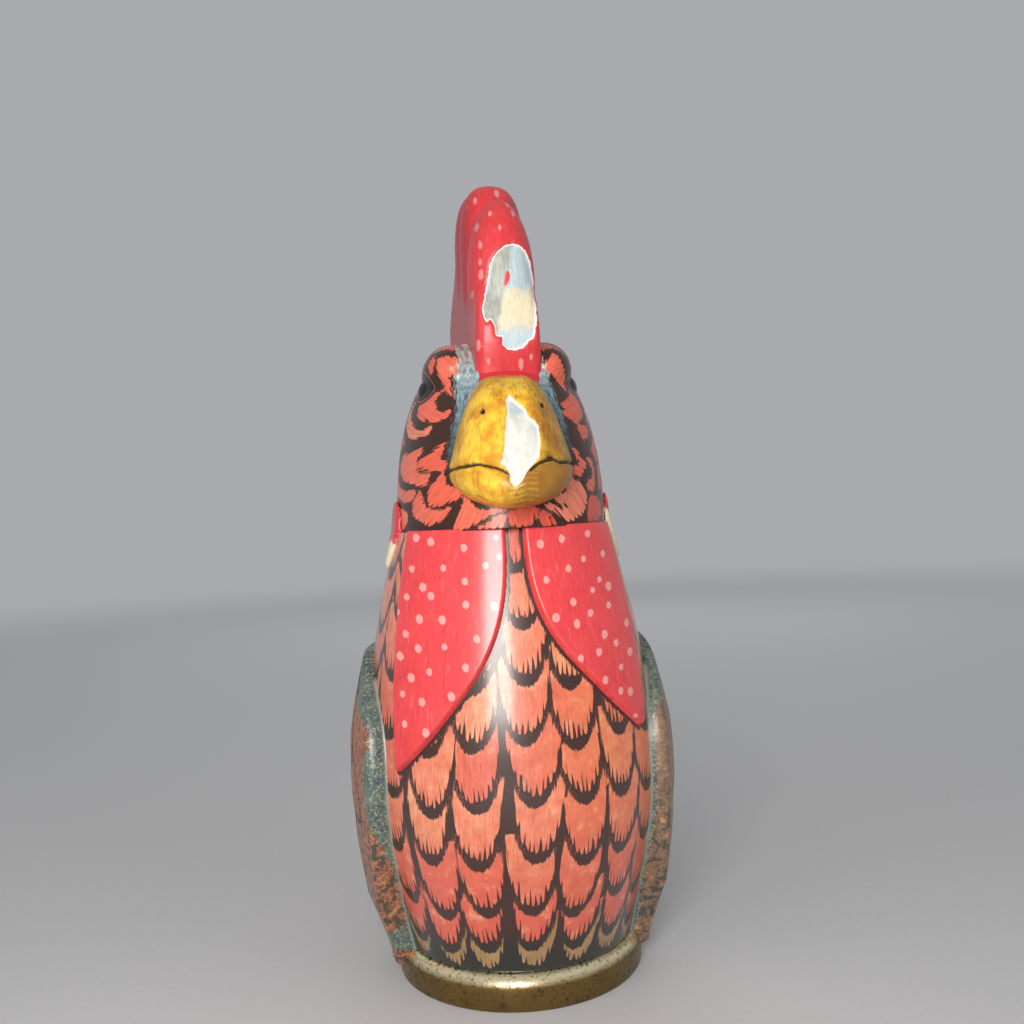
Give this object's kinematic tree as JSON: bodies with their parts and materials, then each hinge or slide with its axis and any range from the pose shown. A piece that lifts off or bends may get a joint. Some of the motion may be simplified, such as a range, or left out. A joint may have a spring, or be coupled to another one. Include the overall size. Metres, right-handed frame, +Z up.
{
  "type": "carved wooden rooster figurine",
  "caption": "Carved and painted wooden rooster sitting on a low gilt plinth, with a thick comb, an inlaid beak, lapel-like wattles, draped wings and an arched tail.",
  "frame": {"origin": "centre of the plinth's underside, under the bird's axis", "axes": "+Z up, -Y the way the beak points, +X the bird's left side"},
  "size_m": [0.099, 0.187, 0.239],
  "materials": {
    "feather_paint": "painted scale feathers under gloss varnish",
    "head_paint": "painted feathers under gloss varnish",
    "red_paint": "red paint with pale dots under gloss varnish",
    "beak_paint": "ochre stain with a brown glaze, chipped",
    "earlobe_paint": "red and cream paint",
    "eye_paint": "polished black bead with a red-brown ring",
    "wing_paint": "mottled verdigris and copper paint",
    "tail_paint": "mottled verdigris and copper paint",
    "gilt": "antique gold paint with a dark glaze",
    "beech": "plain",
    "screw_steel": "plain"
  },
  "bodies": {
    "root": {"plinth": "gilt", "body_block": "feather_paint", "head_block": "head_paint", "comb": "red_paint", "beak": "beak_paint", "eye_left": "eye_paint", "eye_right": "eye_paint", "wattle_left": "red_paint", "wattle_right": "red_paint", "earlobe_left": "earlobe_paint", "earlobe_right": "earlobe_paint", "wing_left": "wing_paint", "wing_right": "wing_paint", "tail": "tail_paint", "neck_dowel_front": "beech", "neck_dowel_rear": "beech", "tail_dowel_lower": "beech", "tail_dowel_upper": "beech", "beak_dowel": "beech", "wing_pin_left_front": "beech", "wing_pin_left_rear": "beech", "wing_pin_right_front": "beech", "wing_pin_right_rear": "beech", "base_screw_front": "screw_steel", "base_screw_rear": "screw_steel"}
  },
  "joints": []
}
